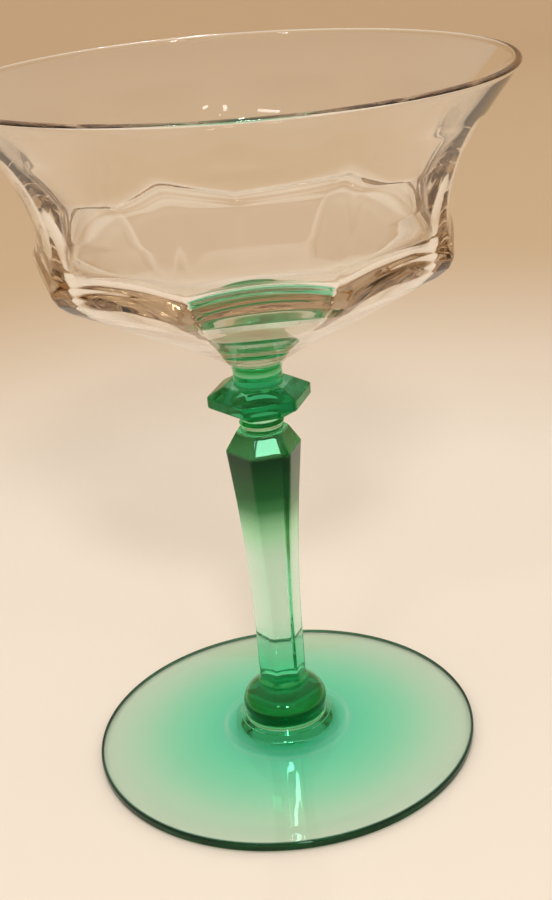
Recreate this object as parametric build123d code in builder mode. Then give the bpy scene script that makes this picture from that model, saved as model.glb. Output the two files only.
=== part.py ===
"""Stemmed glass with a clear panelled bowl on a green pressed stem and a green foot.

Five pieces of glass, each made on its own and stuck to the next while hot:
foot, base_knob, stem, collar and bowl.
Millimetres. +Z is up along the axis, and the origin is the centre of the base.
"""
import os

from build123d import *

# ---- driving dimensions ------------------------------------------------------
glass_height = 126.4
rim_radius = 47.5
foot_radius = 35.25

foot_top = 4.6            # the foot's boss meets the base knob
base_knob_top = 11.6      # the base knob meets the stem
stem_top = 73.4           # the stem's neck meets the collar
collar_top = 76.2         # the collar meets the bowl

foot_boss_radius = 8.2
stem_foot_radius = 4.6
neck_radius = 4.35
bowl_pad_radius = 6.1

side_count = 6            # sides of the shaft, shoulder and knop
side_turn = 10            # degrees from +X to one corner of the hexagon
panel_count = 9           # optic panels round the bowl
panel_turn = -87          # degrees from +X to the middle of one panel

# ---- foot: a thin disc, dished below, that rises to a boss in the middle ------
foot_edge_height = 1.5
foot_edge_rounding = 0.7
ring_inner_radius = 29.5  # the foot stands on a flat ring outside this radius
dish_height = 0.9
foot_slope = [(22, 2.6), (12, 3.3)]     # radius and height on the way in to the boss

with BuildPart() as foot:
    with BuildSketch(Plane.XZ):
        with BuildLine():
            Line((ring_inner_radius, 0), (foot_radius - foot_edge_rounding, 0))
            ThreePointArc(
                (foot_radius - foot_edge_rounding, 0),
                (foot_radius, foot_edge_height / 2),
                (foot_radius - foot_edge_rounding, foot_edge_height),
            )
            Spline(
                (foot_radius - foot_edge_rounding, foot_edge_height),
                *foot_slope,
                (foot_boss_radius, foot_top),
                tangents=((-1, 0.06), (-0.35, 1)),
            )
            Line((foot_boss_radius, foot_top), (0, foot_top))
            Line((0, foot_top), (0, dish_height))
            Spline((0, dish_height), (ring_inner_radius, 0), tangents=((1, 0), (1, 0)))
        make_face()
    revolve(axis=Axis.Z)
foot.part.label = "foot"

# ---- base knob: a round gather squeezed between the stem and the foot ---------
base_knob_radius = 7.75
base_knob_middle = 7.5
groove_radius = 7.4       # shallow groove between the flare on the boss and the knob
groove_height = 5.9
flare_curve = (7.45, 5.1)
knob_shoulder = (6.7, 10.0)

with BuildPart() as base_knob:
    with BuildSketch(Plane.XZ):
        with BuildLine():
            Line((0, foot_top), (foot_boss_radius, foot_top))
            ThreePointArc((foot_boss_radius, foot_top), flare_curve, (groove_radius, groove_height))
            Spline(
                (groove_radius, groove_height),
                (base_knob_radius, base_knob_middle),
                knob_shoulder,
                (stem_foot_radius, base_knob_top),
                tangents=((0.2, 1), (-1, 0.35)),
            )
            Line((stem_foot_radius, base_knob_top), (0, base_knob_top))
            Line((0, base_knob_top), (0, foot_top))
        make_face()
    revolve(axis=Axis.Z)
base_knob.part.label = "base_knob"

# ---- stem: pressed in one mould, a hexagonal shaft, shoulder and knop ---------
bead_height = 1.0         # round bead where the shaft stands on the base knob
shaft_sections = [        # height and corner radius of the tapering shaft
    (base_knob_top + bead_height, 4.3),
    (24.0, 4.4),
    (36.0, 4.75),
    (49.0, 5.75),
    (59.2, 6.85),
]
shoulder_top = 62.6
shoulder_top_radius = 4.7
waist_radius = 3.7        # round neck between the shoulder and the knop
waist_ring_radius = 4.0
waist_ring_middle = 64.0
waist_ring_half_height = 0.6
knop_sections = [         # height and corner radius of the bevelled knop
    (65.7, 5.6),
    (67.9, 9.3),
    (69.7, 9.3),
    (71.3, 6.2),
]
ring_low = waist_ring_middle - waist_ring_half_height
ring_high = waist_ring_middle + waist_ring_half_height

with BuildPart() as stem:
    # the round bead at the foot of the shaft
    with BuildSketch(Plane.XY.offset(base_knob_top)):
        Circle(stem_foot_radius)
    extrude(amount=bead_height)
    # the shaft is one smooth taper through all its sections
    for height, corner_radius in shaft_sections:
        with BuildSketch(Plane.XY.offset(height)):
            RegularPolygon(corner_radius, side_count, rotation=side_turn)
    loft()
    # the shoulder slopes straight in to the waist
    for height, corner_radius in [shaft_sections[-1], (shoulder_top, shoulder_top_radius)]:
        with BuildSketch(Plane.XY.offset(height)):
            RegularPolygon(corner_radius, side_count, rotation=side_turn)
    loft(ruled=True)
    # the round waist with a raised ring halfway up
    with BuildSketch(Plane.XZ):
        with BuildLine():
            Line((0, shoulder_top), (waist_radius, shoulder_top))
            Line((waist_radius, shoulder_top), (waist_radius, ring_low))
            ThreePointArc(
                (waist_radius, ring_low),
                (waist_ring_radius, waist_ring_middle),
                (waist_radius, ring_high),
            )
            Line((waist_radius, ring_high), (waist_radius, knop_sections[0][0]))
            Line((waist_radius, knop_sections[0][0]), (0, knop_sections[0][0]))
            Line((0, knop_sections[0][0]), (0, shoulder_top))
        make_face()
    revolve(axis=Axis.Z)
    # the knop has a bevel below, an upright girdle and a bevel above
    for height, corner_radius in knop_sections:
        with BuildSketch(Plane.XY.offset(height)):
            RegularPolygon(corner_radius, side_count, rotation=side_turn)
    loft(ruled=True)
    # the short round neck above the knop
    with BuildSketch(Plane.XY.offset(knop_sections[-1][0])):
        Circle(neck_radius)
    extrude(amount=stem_top - knop_sections[-1][0])
stem.part.label = "stem"

# ---- collar: the bit of green glass that sticks the bowl to the stem ----------
collar_curve = (4.75, 75.0)

with BuildPart() as collar:
    with BuildSketch(Plane.XZ):
        with BuildLine():
            Line((0, stem_top), (neck_radius, stem_top))
            ThreePointArc((neck_radius, stem_top), collar_curve, (bowl_pad_radius, collar_top))
            Line((bowl_pad_radius, collar_top), (0, collar_top))
            Line((0, collar_top), (0, stem_top))
        make_face()
    revolve(axis=Axis.Z)
collar.part.label = "collar"

# ---- bowl: clear, flared at the rim, with a sharp low corner and a cone below --
lip_height = 0.7
lip_width = 1.4
waist_height = 103.0
outer_waist_radius = 36.0
inner_waist_radius = 33.2
# radius and height of the places where the outlines change
pad_bend = (8.7, 77.8)
pad_end = (12.5, 80.2)          # the concave run out of the pad meets the straight cone
cone_end = (34.1, 92.25)        # the cone meets the rounded low corner
corner_bend = (36.3, 94.2)
corner_end = (36.8, 97.0)       # the corner meets the wall
outer_flare = (38.6, 112.5)
inner_bottom = (0, 80.8)
inner_cone_start = (9.0, 82.6)
inner_cone_end = (29.8, 94.2)
inner_corner_bend = (32.1, 96.0)
inner_corner_end = (32.9, 98.6)
inner_flare = (36.5, 112.5)
# the same along the middle of one panel
panel_top = (45.6, 122)         # the panel fades out into the round flare
panel_flare = (38.6, 113.5)
panel_waist_radius = 34.75
panel_corner_top = (34.9, 96.6)
panel_corner_bend = (34.4, 94.0)
panel_corner_end = (32.4, 91.9)
panel_low = (17.0, 82.4)        # the panel fades out into the cone
cutter_radius = 60              # beyond the glass
cutter_half_width = 17          # wider than a panel

# the space outside one panel: its inner edge is the panel's own curved profile
with BuildPart() as panel_cutter:
    with BuildSketch(Plane.XZ):
        with BuildLine():
            Line((cutter_radius, panel_top[1]), panel_top)
            Spline(
                panel_top,
                panel_flare,
                (panel_waist_radius, waist_height),
                panel_corner_top,
                tangents=((-0.62, -1), (0.12, -1)),
            )
            ThreePointArc(panel_corner_top, panel_corner_bend, panel_corner_end)
            Line(panel_corner_end, panel_low)
            Line(panel_low, (cutter_radius, panel_low[1]))
            Line((cutter_radius, panel_low[1]), (cutter_radius, panel_top[1]))
        make_face()
    extrude(amount=cutter_half_width, both=True)

with BuildPart() as bowl:
    # the outside, filled
    with BuildSketch(Plane.XZ):
        with BuildLine():
            Line((0, collar_top), (bowl_pad_radius, collar_top))
            ThreePointArc((bowl_pad_radius, collar_top), pad_bend, pad_end)
            Line(pad_end, cone_end)
            ThreePointArc(cone_end, corner_bend, corner_end)
            Spline(
                corner_end,
                (outer_waist_radius, waist_height),
                outer_flare,
                (rim_radius, glass_height - lip_height),
                tangents=((-0.15, 1), (0.62, 1)),
            )
            ThreePointArc(
                (rim_radius, glass_height - lip_height),
                (rim_radius - lip_width / 2, glass_height),
                (rim_radius - lip_width, glass_height - lip_height),
            )
            Line((rim_radius - lip_width, glass_height - lip_height), (0, glass_height - lip_height))
            Line((0, glass_height - lip_height), (0, collar_top))
        make_face()
    revolve(axis=Axis.Z)
    # the panels
    with PolarLocations(0, panel_count, start_angle=panel_turn):
        add(panel_cutter.part, mode=Mode.SUBTRACT)
    # the inside is round all the way
    with BuildSketch(Plane.XZ):
        with BuildLine():
            Line((0, glass_height), inner_bottom)
            Spline(inner_bottom, inner_cone_start, tangents=((1, 0), (0.89, 0.5)))
            Line(inner_cone_start, inner_cone_end)
            ThreePointArc(inner_cone_end, inner_corner_bend, inner_corner_end)
            Spline(
                inner_corner_end,
                (inner_waist_radius, waist_height),
                inner_flare,
                (rim_radius - lip_width, glass_height - lip_height),
                tangents=((0, 1), (0.62, 1)),
            )
            Line((rim_radius - lip_width, glass_height - lip_height), (rim_radius - lip_width, glass_height))
            Line((rim_radius - lip_width, glass_height), (0, glass_height))
        make_face()
    revolve(axis=Axis.Z, mode=Mode.SUBTRACT)
bowl.part.label = "bowl"

# ---- write one file for each piece ---------------------------------------------
os.makedirs("parts", exist_ok=True)
export_step(foot.part, "parts/foot.step")
export_step(base_knob.part, "parts/base_knob.step")
export_step(stem.part, "parts/stem.step")
export_step(collar.part, "parts/collar.step")
export_step(bowl.part, "parts/bowl.step")
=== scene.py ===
"""A stemmed glass: clear panelled bowl, green pressed stem and green foot.

The sections follow the glass from the foot up, as the glassmaker puts it together.
Metres, +Z up, origin at the centre of the base.
"""
import math

import bpy
import numpy as np
from mathutils import Matrix, Vector


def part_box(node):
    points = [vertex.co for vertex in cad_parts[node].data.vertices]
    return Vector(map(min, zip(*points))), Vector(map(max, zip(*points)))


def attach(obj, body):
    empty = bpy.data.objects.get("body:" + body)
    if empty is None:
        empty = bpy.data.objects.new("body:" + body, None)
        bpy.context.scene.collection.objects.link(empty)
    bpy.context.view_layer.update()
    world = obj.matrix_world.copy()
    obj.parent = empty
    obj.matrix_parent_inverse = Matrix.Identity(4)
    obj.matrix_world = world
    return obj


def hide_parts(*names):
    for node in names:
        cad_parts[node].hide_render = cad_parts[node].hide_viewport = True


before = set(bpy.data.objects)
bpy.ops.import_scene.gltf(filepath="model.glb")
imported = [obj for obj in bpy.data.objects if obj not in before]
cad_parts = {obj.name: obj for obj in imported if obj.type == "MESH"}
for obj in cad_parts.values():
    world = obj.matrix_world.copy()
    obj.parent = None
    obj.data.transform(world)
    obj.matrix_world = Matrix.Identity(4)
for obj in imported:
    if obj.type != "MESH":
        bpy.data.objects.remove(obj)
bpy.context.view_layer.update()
MM = 0.001

# ---- foot ---------------------------------------------------------------------
# The foot is a gather of green glass that was dropped on the stem, pressed flat and
# spun out into a thin disc. It is dished below, so that it stands on its outer ring.

foot_low, foot_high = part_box("foot")
foot_radius = foot_high.x
foot_top = foot_high.z
foot_edge_height = 1.5 * MM
boss_radius = 8.2 * MM
joint_gap = 0.01 * MM     # each of two fused pieces stops this far short of their joint
dish_height = 0.9 * MM
ring_inner_radius = 29.5 * MM
foot_softness = 0.3 * MM   # how far the fire has melted the edges round


def smooth_run(points, steps=60):
    """A natural cubic spline through (radius, height) points, measured along the chords."""
    points = np.array(points, float)
    chord = np.hypot(*np.diff(points, axis=0).T)
    knot = np.concatenate([[0], np.cumsum(chord)])
    n = len(points)
    a = np.eye(n)
    b = np.zeros((n, 2))
    for i in range(1, n - 1):
        a[i, i - 1:i + 2] = chord[i - 1], 2 * (chord[i - 1] + chord[i]), chord[i]
        b[i] = 6 * ((points[i + 1] - points[i]) / chord[i] - (points[i] - points[i - 1]) / chord[i - 1])
    bend = np.linalg.solve(a, b)
    at = np.linspace(0, knot[-1], steps)
    i = np.clip(np.searchsorted(knot, at, "right") - 1, 0, n - 2)
    h, left, right = chord[i, None], (at - knot[i])[:, None], (knot[i + 1] - at)[:, None]
    return (
        (bend[i] * right**3 + bend[i + 1] * left**3) / (6 * h)
        + (points[i] / h - bend[i] * h / 6) * right
        + (points[i + 1] / h - bend[i + 1] * h / 6) * left
    )


def fire_polished(line, softness, count):
    """The line with its corners melted round: each point is the average of the line within
    `softness` of it, and the points are spaced by length and by how much the line turns."""
    line = np.asarray(line, float)
    length = np.concatenate([[0], np.cumsum(np.hypot(*np.diff(line, axis=0).T))])
    fine = int(length[-1] / (softness / 8))
    at = np.linspace(0, length[-1], fine)
    even = np.column_stack([np.interp(at, length, line[:, k]) for k in (0, 1)])
    window = np.hanning(19)[1:-1]
    window /= window.sum()
    half = len(window) // 2
    before = 2 * even[0] - even[half:0:-1]
    after = 2 * even[-1] - even[-2:-half - 2:-1]
    padded = np.vstack([before, even, after])
    soft = np.column_stack([np.convolve(padded[:, k], window, "valid") for k in (0, 1)])
    step = np.diff(soft, axis=0)
    size = np.hypot(*step.T)
    heading = np.unwrap(np.arctan2(step[:, 1], step[:, 0]))
    turn = np.abs(np.gradient(heading))
    weight = size / size.sum() + turn / turn.sum()
    place = np.concatenate([[0], np.cumsum(weight)])
    wanted = np.linspace(0, place[-1], count)
    return np.column_stack([np.interp(wanted, place, soft[:, k]) for k in (0, 1)])


def round_outline(angle, along):
    """A circle: every point at the line's own radius."""
    return np.ones(np.broadcast(angle, along).shape)


def level_outline(angle, along):
    """No rise or fall: every point at the line's own height."""
    return np.zeros(np.broadcast(angle, along).shape)


def blown_piece(name, line, angles, outline=round_outline, rise=level_outline):
    """A closed surface: the point at (along, angle) stands at the line's radius times the outline
    there, turned round the axis, at the line's height plus the rise there. The line's two ends lie
    on the axis, as one vertex each."""
    radius, height = line[1:-1, 0], line[1:-1, 1]
    along = np.linspace(0, 1, len(line))[1:-1]
    reach = radius[:, None] * outline(angles[None, :], along[:, None])
    level = height[:, None] + rise(angles[None, :], along[:, None])
    rows, columns = reach.shape
    around = np.stack([reach * np.cos(angles), reach * np.sin(angles), level], -1).reshape(-1, 3)
    poles = np.array([[0, 0, line[0, 1]], [0, 0, line[-1, 1]]])
    points = np.vstack([around, poles])
    j = np.arange(columns)
    k = (j + 1) % columns
    i = np.arange(rows - 1)[:, None] * columns
    quads = np.stack([i + j, i + k, i + columns + k, i + columns + j], -1).reshape(-1, 4)
    first, last = rows * columns, rows * columns + 1
    top = (rows - 1) * columns
    bottom_fan = np.column_stack([np.full(columns, first), k, j])
    top_fan = np.column_stack([np.full(columns, last), top + j, top + k])
    mesh = bpy.data.meshes.new(name)
    mesh.from_pydata(points.tolist(), [], quads.tolist() + bottom_fan.tolist() + top_fan.tolist())
    mesh.shade_smooth()
    mesh.validate()
    piece = bpy.data.objects.new(name, mesh)
    bpy.context.scene.collection.objects.link(piece)
    return piece


def even_angles(count):
    """Angles round the axis in even steps."""
    return np.linspace(0, 2 * np.pi, count, endpoint=False)


foot_line = fire_polished(
    np.vstack([
        # the dish below, out to the ring that the foot stands on
        [[0, dish_height]],
        smooth_run([(6 * MM, 0.85 * MM), (20 * MM, 0.4 * MM), (ring_inner_radius, 0)]),
        # the outer edge
        [[foot_radius - 0.4 * MM, 0], [foot_radius, 0.25 * MM]],
        [[foot_radius, foot_edge_height - 0.1 * MM]],
        [[foot_radius - 0.2 * MM, foot_edge_height + 0.1 * MM]],
        # the top, rising slowly and then steeply to the boss
        smooth_run([(33 * MM, 1.7 * MM), (22 * MM, 2.6 * MM), (12.5 * MM, 3.3 * MM)]),
        smooth_run([(11.5 * MM, 3.42 * MM), (9.3 * MM, 3.8 * MM), (boss_radius, foot_top - joint_gap)]),
        [[0, foot_top - joint_gap]],
    ]),
    foot_softness, 200,
)
foot = blown_piece("foot_disc", foot_line, even_angles(360))


def group_nodes(name, inputs, outputs):
    """A new shader node group with float inputs [(name, default)] and float outputs [names]."""
    tree = bpy.data.node_groups.new(name, "ShaderNodeTree")
    for label, value in inputs:
        socket = tree.interface.new_socket(label, in_out="INPUT", socket_type="NodeSocketFloat")
        socket.default_value = value
    for label in outputs:
        tree.interface.new_socket(label, in_out="OUTPUT", socket_type="NodeSocketFloat")
    return tree, tree.nodes.new("NodeGroupInput"), tree.nodes.new("NodeGroupOutput")


def maths(tree, operation, a, b=None, c=None):
    """A math node of that operation; numbers are set and sockets are linked."""
    node = tree.nodes.new("ShaderNodeMath")
    node.operation = operation
    for slot, value in zip(node.inputs, (a, b, c)):
        if value is None:
            continue
        if isinstance(value, (int, float)):
            slot.default_value = value
        else:
            tree.links.new(value, slot)
    return node.outputs[0]


def fire_skin_group():
    """Waves and a faint haze on fire-polished glass: a Height in metres, a Roughness and a Shade
    near 1."""
    tree, given, result = group_nodes(
        "fire_skin", [("Wave Size", 0.012), ("Wave Height", 0.00003), ("Haze", 0.01)],
        ["Height", "Roughness", "Shade"],
    )
    place = tree.nodes.new("ShaderNodeTexCoord").outputs["Object"]
    stretch = tree.nodes.new("ShaderNodeMapping")
    stretch.inputs["Scale"].default_value = (1, 1, 0.45)
    tree.links.new(place, stretch.inputs["Vector"])
    frequency = maths(tree, "DIVIDE", 1.0, given.outputs["Wave Size"])
    waves = tree.nodes.new("ShaderNodeTexNoise")
    waves.inputs["Detail"].default_value = 1.0
    tree.links.new(stretch.outputs[0], waves.inputs["Vector"])
    tree.links.new(frequency, waves.inputs["Scale"])
    height = maths(tree, "MULTIPLY", waves.outputs[0], given.outputs["Wave Height"])
    tree.links.new(height, result.inputs["Height"])
    haze = tree.nodes.new("ShaderNodeTexNoise")
    haze.inputs["Scale"].default_value = 140
    haze.inputs["Detail"].default_value = 4
    tree.links.new(place, haze.inputs["Vector"])
    roughness = maths(tree, "MULTIPLY", haze.outputs[0], given.outputs["Haze"])
    tree.links.new(roughness, result.inputs["Roughness"])
    tree.links.new(maths(tree, "MULTIPLY_ADD", haze.outputs[0], 0.02, 0.99), result.inputs["Shade"])
    return tree


def fused_faces_group():
    """Skin is 0 on the flat faces at the two joint heights, where the glass of two pieces runs
    together and nothing can be seen, and 1 everywhere else. A joint of -1 is no joint."""
    tree, given, result = group_nodes(
        "fused_faces", [("Lower Joint", -1.0), ("Upper Joint", -1.0)], ["Skin"],
    )
    place = tree.nodes.new("ShaderNodeSeparateXYZ")
    tree.links.new(tree.nodes.new("ShaderNodeTexCoord").outputs["Object"], place.inputs[0])
    off = []
    for joint in ("Lower Joint", "Upper Joint"):
        away = maths(tree, "ABSOLUTE", maths(tree, "SUBTRACT", place.outputs["Z"], given.outputs[joint]))
        off.append(maths(tree, "GREATER_THAN", away, 0.03 * MM))
    tree.links.new(maths(tree, "MULTIPLY", *off), result.inputs["Skin"])
    return tree


fire_skin = fire_skin_group()
fused_faces = fused_faces_group()


def glass_material(name, joints, waves, haze, along, tints, body, strength, sheen=(1, 1, 1)):
    """Glass with a fire-polished skin and a body colour that deepens with the way light goes
    through it. The skin's tint runs through `tints`, pairs of millimetres and colour, measured
    out from the axis or up from the base as `along` says. `sheen` colours what the skin mirrors;
    real glass mirrors without colour, but green glass in a pale room looks milky that way."""
    material = bpy.data.materials.new(name)
    material.use_nodes = True
    tree = material.node_tree
    glass = tree.nodes["Principled BSDF"]
    glass.inputs["Transmission Weight"].default_value = 1.0
    glass.inputs["IOR"].default_value = 1.5
    glass.inputs["Specular Tint"].default_value = (*sheen, 1)
    skin = tree.nodes.new("ShaderNodeGroup")
    skin.node_tree = fire_skin
    skin.inputs["Wave Size"].default_value, skin.inputs["Wave Height"].default_value = waves
    skin.inputs["Haze"].default_value = haze
    place = tree.nodes.new("ShaderNodeTexCoord").outputs["Object"]
    if along == "axis":
        flat = tree.nodes.new("ShaderNodeMapping")
        flat.inputs["Scale"].default_value = (1, 1, 0)
        tree.links.new(place, flat.inputs["Vector"])
        spread = tree.nodes.new("ShaderNodeVectorMath")
        spread.operation = "LENGTH"
        tree.links.new(flat.outputs[0], spread.inputs[0])
        measure = spread.outputs["Value"]
    else:
        split = tree.nodes.new("ShaderNodeSeparateXYZ")
        tree.links.new(place, split.inputs[0])
        measure = split.outputs["Z"]
    first, last = tints[0][0], tints[-1][0]
    share = maths(tree, "MULTIPLY_ADD", measure, 1 / ((last - first) * MM), -first / (last - first))
    bands = tree.nodes.new("ShaderNodeValToRGB")
    tree.links.new(share, bands.inputs[0])
    stops = bands.color_ramp.elements
    while len(stops) < len(tints):
        stops.new(0.5)
    for stop, (at, tint) in zip(stops, tints):
        stop.position = (at - first) / (last - first)
    for stop, (at, tint) in zip(stops, tints):
        stop.color = (*tint, 1)
    shade = tree.nodes.new("ShaderNodeVectorMath")
    shade.operation = "SCALE"
    tree.links.new(bands.outputs[0], shade.inputs[0])
    tree.links.new(skin.outputs["Shade"], shade.inputs["Scale"])
    tree.links.new(shade.outputs[0], glass.inputs["Base Color"])
    tree.links.new(skin.outputs["Roughness"], glass.inputs["Roughness"])
    bump = tree.nodes.new("ShaderNodeBump")
    bump.inputs["Distance"].default_value = 1.0
    bump.inputs["Strength"].default_value = 1.0
    tree.links.new(skin.outputs["Height"], bump.inputs["Height"])
    tree.links.new(bump.outputs[0], glass.inputs["Normal"])
    fused = tree.nodes.new("ShaderNodeGroup")
    fused.node_tree = fused_faces
    fused.inputs["Lower Joint"].default_value, fused.inputs["Upper Joint"].default_value = joints
    tree.links.new(fused.outputs["Skin"], glass.inputs["Alpha"])
    depth = tree.nodes.new("ShaderNodeVolumeAbsorption")
    depth.inputs["Color"].default_value = (*body, 1)
    depth.inputs["Density"].default_value = strength
    tree.links.new(depth.outputs[0], tree.nodes["Material Output"].inputs["Volume"])
    return material


# Green by the boss, paler outwards as the disc thins, and dark at the very edge, as if seen along the
# disc. The one pale ring round the boss is a painted highlight.
foot_tints = [
    (9, (0.34, 0.95, 0.82)), (10.9, (0.38, 0.96, 0.84)),
    # the pale stops at 11.5 mm are the painted highlight, a thin light ring round the boss
    (11.5, (0.80, 1.0, 0.97)), (12.2, (0.43, 0.97, 0.85)),
    (14, (0.46, 0.98, 0.85)), (21, (0.61, 0.99, 0.87)), (28, (0.82, 1.0, 0.93)),
    (34.6, (0.93, 1.0, 0.98)), (34.85, (0.0, 0.03, 0.01)), (36, (0.0, 0.03, 0.01)),
]
foot_body = (0.45, 0.97, 0.70)
foot_strength = 70
foot_sheen = (0.45, 0.80, 0.62)
skin_haze = 0.01
foot.data.materials.append(glass_material(
    "green_foot", (-1.0, foot_top), (0.011, 0.000003), skin_haze, "axis", foot_tints,
    foot_body, foot_strength, foot_sheen,
))
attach(foot, "root")
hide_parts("foot")

# ---- base knob -----------------------------------------------------------------
# A round bit of the same green glass, squeezed out between the stem and the foot when the
# foot was stuck on.

knob_low, knob_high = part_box("base_knob")
bead_radius = 4.6 * MM
base_knob_line = fire_polished(
    np.vstack([
        [[0, knob_low.z + joint_gap], [boss_radius, knob_low.z + joint_gap]],
        smooth_run([(7.6 * MM, 5.0 * MM), (7.42 * MM, 5.9 * MM), (7.75 * MM, 7.5 * MM),
                    (6.8 * MM, 10.0 * MM), (bead_radius, knob_high.z - joint_gap)]),
        [[0, knob_high.z - joint_gap]],
    ]),
    0.25 * MM, 130,
)
base_knob = blown_piece("base_knob_gather", base_knob_line, even_angles(240))
# Pale where it flares onto the foot, and dark above, where real glass would mirror a dim room.
base_knob_tints = [
    (4.6, (0.72, 1.0, 0.92)), (5.6, (0.66, 0.98, 0.88)),
    (6.3, (0.01, 0.20, 0.07)), (10.5, (0.02, 0.26, 0.10)), (11.6, (0.03, 0.36, 0.16)),
]
base_knob_body = (0.02, 0.66, 0.34)
base_knob_strength = 130
green_sheen = (0.22, 0.60, 0.38)
base_knob.data.materials.append(glass_material(
    "green_base_knob", (knob_low.z, knob_high.z), (0.006, 0.00002), skin_haze, "height",
    base_knob_tints, base_knob_body, base_knob_strength, green_sheen,
))
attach(base_knob, "root")
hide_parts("base_knob")

# ---- stem ----------------------------------------------------------------------
# The stem was pressed in a hexagonal mould in one go: a tapering shaft on a round bead, a
# sloping shoulder, a round waist with a ring, a bevelled knop and a short round neck.

stem_low, stem_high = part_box("stem")
side_count = 6
side_turn = math.radians(10)
neck_radius = 4.35 * MM
mould_sharpness = 34       # how crisp the mould left the six corners
stem_start = stem_low.z / MM + 0.01
stem_end = stem_high.z / MM - 0.01
# each place in millimetres: corner radius, height, and how hexagonal the outline is, from 0 for
# round to 1 for six flat sides
stem_places = np.array([
    # the bead
    (0, stem_start, 0), (4.6, stem_start, 0), (4.6, 12.3, 0.0),
    # the shaft
    (4.32, 12.8, 0.9), (4.38, 18, 1), (4.4, 24, 1), (4.53, 30, 1), (4.78, 36, 1), (5.2, 42.5, 1),
    (5.75, 49, 1), (6.3, 54.2, 1), (6.85, 59.2, 1),
    # the shoulder's upper end
    (4.7, 62.55, 1),
    # the waist and its ring
    (3.72, 62.6, 0), (3.7, 63.3, 0), (4.05, 64.0, 0), (3.7, 64.7, 0), (3.72, 65.65, 0),
    # the knop
    (5.6, 65.7, 1), (9.3, 67.9, 1), (9.3, 69.7, 1), (6.2, 71.3, 1),
    # the neck
    (4.4, 71.35, 0), (neck_radius / MM, 71.6, 0), (neck_radius / MM, stem_end, 0), (0, stem_end, 0),
])


def sides_outline(angle, count, turn, sharpness):
    """How far a rounded polygon's edge is from its middle, as a share of its corner's distance:
    one over the soft maximum of the cosines to its sides' normals."""
    normals = turn + (np.arange(count) + 0.5) * 2 * np.pi / count
    reach = np.maximum(np.cos(np.asarray(angle)[..., None] - normals), 0) ** sharpness
    soft = reach.sum(-1) ** (-1 / sharpness)
    corner = (2 * np.cos(np.pi / count) ** sharpness) ** (-1 / sharpness)
    return soft / corner


def corner_angles(count, turn, per_side, crowding):
    """Angles that crowd towards each corner of a polygon."""
    share = np.arange(count * per_side) / per_side
    inside = share % 1
    return turn + (share - crowding * np.sin(2 * np.pi * inside) / (2 * np.pi)) * 2 * np.pi / count


stem_line = fire_polished(stem_places[:, :2] * MM, 0.3 * MM, 420)
place_length = np.concatenate([[0], np.cumsum(np.hypot(*np.diff(stem_places[:, :2], axis=0).T))])
stem_steps = np.concatenate([[0], np.cumsum(np.hypot(*np.diff(stem_line, axis=0).T))])
sidedness = np.interp(stem_steps / stem_steps[-1], place_length / place_length[-1], stem_places[:, 2])


def stem_outline(angle, along):
    """Round where the places say round, and a rounded hexagon where they say six sides."""
    share = np.interp(along, np.linspace(0, 1, len(sidedness)), sidedness)
    return 1 + share * (sides_outline(angle, side_count, side_turn, mould_sharpness) - 1)


stem = blown_piece(
    "stem_pressing", stem_line, corner_angles(side_count, side_turn, 30, 0.75), stem_outline,
)
# The tints stand in for a dim room and a pale table seen bent through the glass: the shaft is
# green at its foot, pale in the middle and dark at its top; the shoulder and waist are pale, the
# knop dark and the neck mid green.
stem_tints = [
    (11.6, (0.40, 0.95, 0.78)), (18, (0.55, 0.97, 0.84)),
    (24, (0.98, 1.0, 1.0)), (38, (0.98, 1.0, 1.0)),
    (43, (0.58, 0.86, 0.62)), (48.5, (0.025, 0.14, 0.035)), (58.8, (0.0, 0.012, 0.0)),
    (59.4, (0.80, 1.0, 0.92)), (65.5, (0.70, 0.98, 0.86)),
    (66.2, (0.005, 0.24, 0.08)), (71, (0.01, 0.30, 0.12)),
    (72, (0.30, 0.88, 0.62)), (73.4, (0.36, 0.90, 0.66)),
]
green_body = (0.10, 0.83, 0.50)
green_strength = 58
stem.data.materials.append(glass_material(
    "green_stem", (stem_low.z, stem_high.z), (0.008, 0.000006), skin_haze, "height", stem_tints,
    green_body, green_strength, green_sheen,
))
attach(stem, "root")
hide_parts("stem")

# ---- collar --------------------------------------------------------------------
# The hot bit of green glass that sticks the bowl to the stem's neck and flares out under it.

collar_low, collar_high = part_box("collar")
pad_radius = collar_high.x
collar_line = fire_polished(
    np.vstack([
        [[0, collar_low.z + joint_gap]],
        smooth_run([(neck_radius, collar_low.z + joint_gap), (4.75 * MM, 75.0 * MM),
                    (pad_radius, collar_high.z - joint_gap)]),
        [[0, collar_high.z - joint_gap]],
    ]),
    0.1 * MM, 70,
)
collar = blown_piece("collar_bit", collar_line, even_angles(180))
collar_tints = [(73.4, (0.85, 1.0, 0.92)), (76.2, (0.80, 1.0, 0.90))]
collar_strength = 6 * green_strength     # a short bit, so its colour has to be deeper
collar.data.materials.append(glass_material(
    "green_collar", (collar_low.z, collar_high.z), (0.006, 0.00001), skin_haze, "height",
    collar_tints, green_body, collar_strength, green_sheen,
))
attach(collar, "root")
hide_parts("collar")

# ---- bowl ----------------------------------------------------------------------
# The bowl is clear glass blown in a mould with nine panels. The outside has the panels and the
# inside follows them more softly, so the wall is thickest at the ridges. The lip is fire polished.

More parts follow.
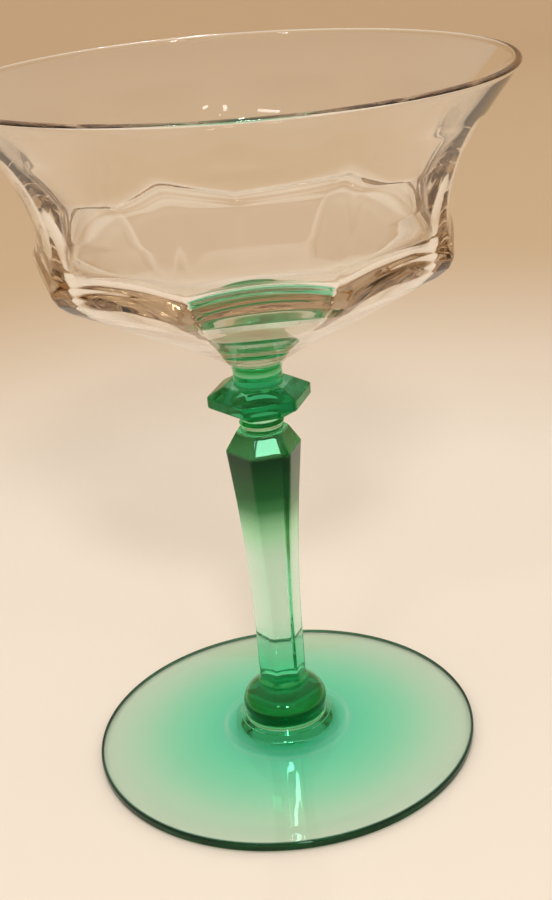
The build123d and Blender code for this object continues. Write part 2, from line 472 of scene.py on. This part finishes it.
bowl_low, bowl_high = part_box("bowl")
rim_radius = (bowl_high.x - bowl_low.x) / 2
lip_height = 0.7 * MM
lip_width = 1.4 * MM
panel_count = 9
panel_turn = math.radians(-87)
panel_corner = panel_turn - math.pi / panel_count
corner_arch = 1.7 * MM
bowl_line = fire_polished(
    np.vstack([
        # the pad and the outside of the cone
        [[0, bowl_low.z + joint_gap], [pad_radius, bowl_low.z + joint_gap]],
        smooth_run([(pad_radius + 0.3 * MM, 76.4 * MM), (8.7 * MM, 77.9 * MM), (12.5 * MM, 80.2 * MM)]),
        # the low corner
        [[34.1 * MM, 92.2 * MM], [36.2 * MM, 93.9 * MM], [36.9 * MM, 95.2 * MM], [36.9 * MM, 96.5 * MM]],
        # the outside of the wall, in at the waist and out to the rim
        smooth_run([(36.3 * MM, 98.0 * MM), (35.95 * MM, 100.5 * MM), (36.1 * MM, 103.5 * MM),
                    (38.6 * MM, 112.5 * MM), (42.7 * MM, 119.2 * MM),
                    (rim_radius, bowl_high.z - lip_height)]),
        # the lip
        [[rim_radius - 0.15 * MM, bowl_high.z - 0.2 * MM], [rim_radius - lip_width / 2, bowl_high.z]],
        [[rim_radius - lip_width + 0.15 * MM, bowl_high.z - 0.2 * MM]],
        # the inside, down the wall, round the corner and down the cone
        smooth_run([(rim_radius - lip_width, bowl_high.z - lip_height), (41.0 * MM, 119.2 * MM),
                    (36.5 * MM, 112.5 * MM), (33.2 * MM, 103 * MM), (32.9 * MM, 98.8 * MM)]),
        smooth_run([(32.6 * MM, 97.2 * MM), (31.6 * MM, 95.4 * MM), (29.8 * MM, 94.2 * MM)]),
        smooth_run([(9 * MM, 82.6 * MM), (5 * MM, 81.1 * MM), (0, 80.8 * MM)]),
    ]),
    0.5 * MM, 420,
)
outside_end = int(np.argmax(bowl_line[:, 1]))


def bowl_place(along):
    """The height at a place along the line, and whether that place is on the outside."""
    step = along * (len(bowl_line) - 1)
    return np.interp(step, np.arange(len(bowl_line)), bowl_line[:, 1]) / MM, step < outside_end


def bowl_outline(angle, along):
    """One less a share of the nine-sided outline's cut: none low on the cone, most at the corner,
    less up the wall and none where the rim flares; the inside follows more softly."""
    height, outside = bowl_place(along)
    cut = np.interp(
        height, [80, 86, 91.5, 96, 100, 104, 112, 118], [0, 0.15, 0.75, 0.85, 0.7, 0.6, 0.25, 0],
    )
    soft_cut = np.interp(height, [86, 92, 96, 100, 106, 112], [0, 0.35, 0.55, 0.45, 0.2, 0])
    panels = sides_outline(angle, panel_count, panel_corner, 90)
    soft_panels = sides_outline(angle, panel_count, panel_corner, 50)
    return 1 + np.where(outside, cut * (panels - 1), soft_cut * (soft_panels - 1))


def bowl_rise(angle, along):
    """The low corner arches up over the middle of each panel and dips at the ridges: the size of a
    cosine that is 1 in mid panel and 0 at a ridge, times a bump in height round the corner."""
    height, outside = bowl_place(along)
    arch = np.abs(np.cos(panel_count / 2 * (angle - panel_turn))) ** 0.7
    outer_bump = np.interp(height, [91, 94, 96.5, 101], [0, 0.55, 1, 0])
    inner_bump = np.interp(height, [89, 94.5, 97.5, 105], [0, 1, 1, 0])
    return corner_arch * arch * np.where(outside, outer_bump, inner_bump)


# clear glass takes a little out of light that turns many times in it, mostly blue; this brown is partly
# that and partly painted light, deeper than clear glass has, in place of warm surroundings seen in the
# glass
clear_body = (0.75, 0.60, 0.40)
clear_strength = 32

bowl = blown_piece(
    "bowl_clear", bowl_line, corner_angles(panel_count, panel_corner, 22, 0.5), bowl_outline, bowl_rise,
)
bowl_tints = [(76.2, (1.0, 1.0, 0.99)), (126.4, (1.0, 0.998, 0.985))]
bowl.data.materials.append(glass_material(
    "clear_bowl", (bowl_low.z, -1.0), (0.014, 0.00003), skin_haze, "height", bowl_tints,
    clear_body, clear_strength,
))
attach(bowl, "root")
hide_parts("bowl")

# ---- floor and surround ----------------------------------------------------------
# A pale warm table top with a painted pool of light: its colour darkens to sand away from the glass,
# in place of light falling off, and it curves up into a low wall.

floor_radius = 0.9
floor_level = -0.1 * MM     # just under the foot, so that the two faces don't flicker
cove_radius = 0.25
wall_height = 0.45
floor_sides = 96
turns = np.linspace(0, np.pi / 2, 24)
floor_line = np.vstack([
    np.column_stack([np.linspace(0.02, floor_radius, 40), np.zeros(40)]),
    np.column_stack([floor_radius + cove_radius * np.sin(turns), cove_radius * (1 - np.cos(turns))])[1:],
    [[floor_radius + cove_radius, wall_height]],
])
around = even_angles(floor_sides)
floor_points = np.stack([
    floor_line[:, :1] * np.cos(around), floor_line[:, :1] * np.sin(around),
    np.repeat(floor_line[:, 1:], floor_sides, 1),
], -1).reshape(-1, 3)
floor_points[:, 2] += floor_level
i, j = np.meshgrid(np.arange(len(floor_line) - 1), np.arange(floor_sides), indexing="ij")
k = (j + 1) % floor_sides
inner, outer = i * floor_sides, (i + 1) * floor_sides
floor_faces = np.stack([inner + j, outer + j, outer + k, inner + k], -1).reshape(-1, 4)
floor_mesh = bpy.data.meshes.new("floor")
middle = [list(range(floor_sides))]
floor_mesh.from_pydata(floor_points.tolist(), [], floor_faces.tolist() + middle)
floor_mesh.shade_smooth()
floor = bpy.data.objects.new("floor", floor_mesh)
bpy.context.scene.collection.objects.link(floor)
floor_material = bpy.data.materials.new("floor")
floor_material.use_nodes = True
tree = floor_material.node_tree
cloth = tree.nodes["Principled BSDF"]
cloth.inputs["Roughness"].default_value = 0.7
cloth.inputs["Specular IOR Level"].default_value = 0.15
mottle = tree.nodes.new("ShaderNodeTexNoise")
mottle.inputs["Scale"].default_value = 9
tree.links.new(tree.nodes.new("ShaderNodeTexCoord").outputs["Object"], mottle.inputs["Vector"])
tone = tree.nodes.new("ShaderNodeMix")
tone.data_type = "RGBA"
tone.inputs["A"].default_value = (0.86, 0.76, 0.64, 1)
tone.inputs["B"].default_value = (0.90, 0.80, 0.69, 1)
tree.links.new(mottle.outputs[0], tone.inputs["Factor"])
# painted pool of light: the floor colour darkens to sand between 0.11 and 0.36 m out, in place of lamp
# light falling off
away = tree.nodes.new("ShaderNodeVectorMath")
away.operation = "LENGTH"
tree.links.new(tree.nodes.new("ShaderNodeTexCoord").outputs["Object"], away.inputs[0])
painted_falloff_reach = tree.nodes.new("ShaderNodeMapRange")
painted_falloff_reach.interpolation_type = "SMOOTHSTEP"
painted_falloff_reach.inputs["From Min"].default_value = 0.11
painted_falloff_reach.inputs["From Max"].default_value = 0.36
tree.links.new(away.outputs["Value"], painted_falloff_reach.inputs["Value"])
painted_falloff = tree.nodes.new("ShaderNodeMix")
painted_falloff.data_type = "RGBA"
painted_falloff.inputs["B"].default_value = (0.62, 0.45, 0.28, 1)
tree.links.new(painted_falloff_reach.outputs[0], painted_falloff.inputs["Factor"])
tree.links.new(tone.outputs["Result"], painted_falloff.inputs["A"])
tree.links.new(painted_falloff.outputs["Result"], cloth.inputs["Base Color"])
floor_mesh.materials.append(floor_material)

# ---- light -----------------------------------------------------------------------
# A soft lamp high in front, three small ones in front that glint in the glass, a thin tube behind
# it, and a pale room that is warmer and dimmer low down and towards the back.


def soft_box(name, place, towards, width, height, power):
    """A rectangular area lamp at a place, facing a point."""
    lamp = bpy.data.lights.new(name, "AREA")
    lamp.shape = "RECTANGLE"
    lamp.size, lamp.size_y = width, height
    lamp.energy = power
    box = bpy.data.objects.new(name, lamp)
    box.location = place
    box.rotation_euler = (Vector(towards) - Vector(place)).to_track_quat("-Z", "Y").to_euler()
    bpy.context.scene.collection.objects.link(box)


# name, place, what it faces, width, height and power in watts
soft_box("front_key", (0.06, -0.75, 0.72), (0, 0, 0.04), 0.13, 0.10, 2.7)
soft_box("left_bulb", (-0.36, -0.68, 0.80), (0, 0, 0.11), 0.12, 0.05, 0.6)
soft_box("side_bulb", (0.28, -0.77, 0.635), (0, 0, 0.061), 0.06, 0.03, 0.18)
soft_box("right_bulb", (0.42, -0.75, 0.95), (0, 0, 0.11), 0.05, 0.05, 0.3)
soft_box("back_tube", (0.010, 0.84, 0.85), (0, -0.025, 0), 0.006, 0.24, 0.5)

world = bpy.data.worlds.new("room")
world.use_nodes = True
sky = world.node_tree
rise = sky.nodes.new("ShaderNodeSeparateXYZ")
sky.links.new(sky.nodes.new("ShaderNodeTexCoord").outputs["Generated"], rise.inputs[0])
glow = sky.nodes.new("ShaderNodeMix")
glow.data_type = "RGBA"
towards_front = sky.nodes.new("ShaderNodeMapRange")
towards_front.inputs["From Min"].default_value = 0.1
towards_front.inputs["From Max"].default_value = -0.9
sky.links.new(rise.outputs["Y"], towards_front.inputs["Value"])
low_glow = sky.nodes.new("ShaderNodeMix")
low_glow.data_type = "RGBA"
low_glow.inputs["A"].default_value = (0.42, 0.33, 0.25, 1)
low_glow.inputs["B"].default_value = (0.80, 0.74, 0.66, 1)
sky.links.new(towards_front.outputs[0], low_glow.inputs["Factor"])
sky.links.new(low_glow.outputs["Result"], glow.inputs["A"])
glow.inputs["B"].default_value = (1.08, 1.05, 1.0, 1)
sky.links.new(rise.outputs["Z"], glow.inputs["Factor"])
sky.links.new(glow.outputs["Result"], sky.nodes["Background"].inputs["Color"])
sky.nodes["Background"].inputs["Strength"].default_value = 0.93
bpy.context.scene.world = world

# ---- camera ----------------------------------------------------------------------
# The camera looks down on the glass from the front, a little rolled.

look_height = 70.5 * MM     # on the axis, at the knop
camera_distance = 0.2609
camera_elevation = math.radians(20.46)
camera_tilt, camera_pan, camera_roll = (math.radians(a) for a in (2.486, -2.984, -4.885))

camera_data = bpy.data.cameras.new("camera")
camera_data.sensor_width = 36
camera_data.lens = 59.19
camera_data.shift_x = -0.06
camera_data.shift_y = -0.15
camera_data.clip_start = 0.01
camera_data.clip_end = 20
camera = bpy.data.objects.new("camera", camera_data)
back = Vector((0, -math.cos(camera_elevation), math.sin(camera_elevation)))
turned = (
    (-back).to_track_quat("-Z", "Y").to_matrix()
    @ Matrix.Rotation(camera_tilt, 3, "X") @ Matrix.Rotation(camera_pan, 3, "Y")
    @ Matrix.Rotation(camera_roll, 3, "Z")
)
camera_place = Vector((0, 0, look_height)) + back * camera_distance
camera.matrix_world = Matrix.Translation(camera_place) @ turned.to_4x4()
bpy.context.scene.collection.objects.link(camera)
bpy.context.scene.camera = camera
bpy.context.scene.view_settings.view_transform = "Standard"
# light turns many times inside thick glass before it comes out
cycles = bpy.context.scene.cycles
cycles.max_bounces = 20
cycles.transmission_bounces = 20
cycles.glossy_bounces = 20
cycles.blur_glossy = 0     # light reaches the floor under the foot undimmed
